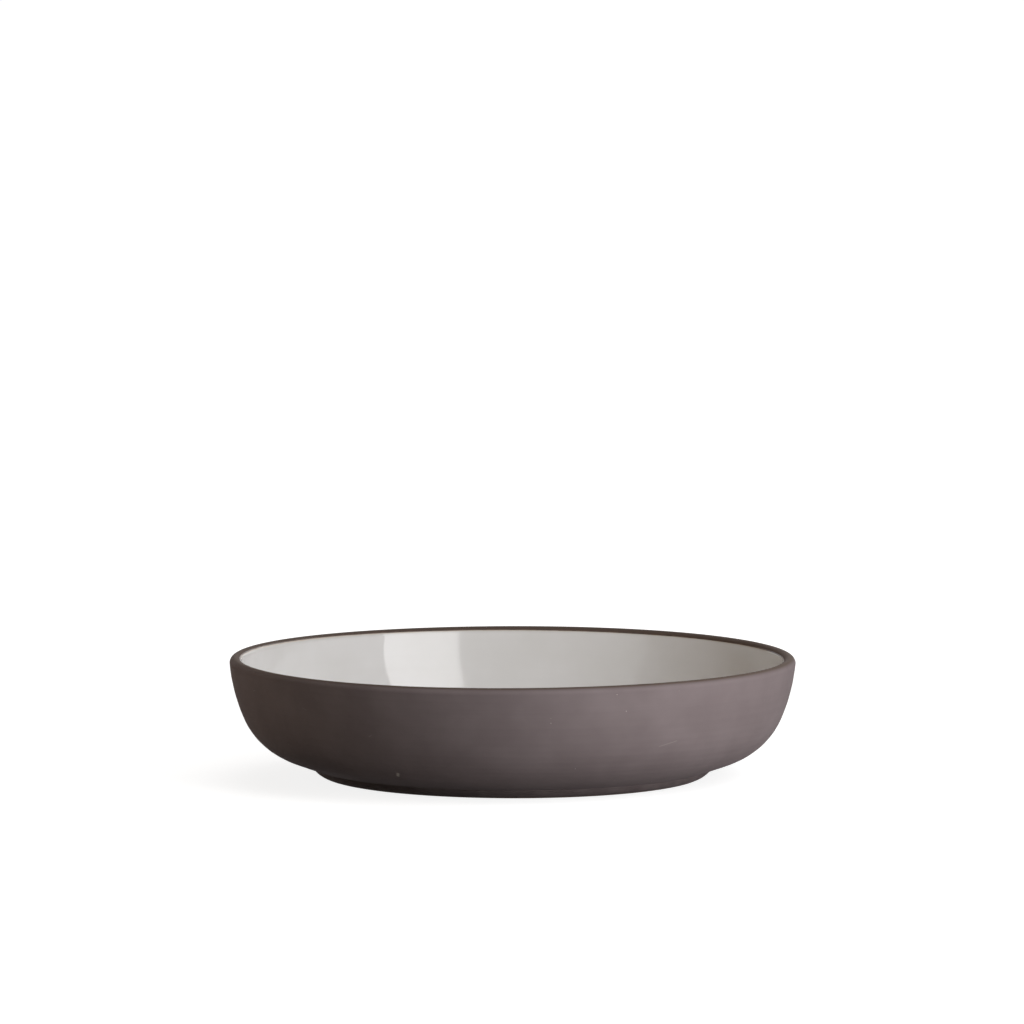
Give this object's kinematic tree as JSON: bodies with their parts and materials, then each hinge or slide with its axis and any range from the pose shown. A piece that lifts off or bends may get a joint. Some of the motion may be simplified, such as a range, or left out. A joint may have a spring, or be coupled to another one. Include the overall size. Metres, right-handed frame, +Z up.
{
  "type": "deep coupe plate",
  "caption": "Deep round stoneware plate with a coved wall, rounded lip and foot ring, glossy white inside and matte brown-grey outside, for serving food.",
  "frame": {"origin": "on the table under the middle of the plate, the centre of the foot ring's contact plane", "axes": "+Z up along the plate's turning axis; X and Y are alike because the plate is round"},
  "size_m": [0.23, 0.23, 0.0488],
  "materials": {
    "clay": "fired stoneware clay, covered all over by its coats",
    "foot_clay": "bare turned clay, matte, smoothed at the land",
    "outer_slip": "matte brown-grey slip with fine turning lines",
    "liner_glaze": "glossy white liner glaze, faintly ringed",
    "break_line": "thin red-brown line where the glaze breaks at the lip"
  },
  "bodies": {
    "root": {"clay_body": "clay", "foot_ring": "foot_clay", "outer_slip": "outer_slip", "liner_glaze": "liner_glaze", "break_line": "break_line", "base_slip": "outer_slip"}
  },
  "joints": []
}
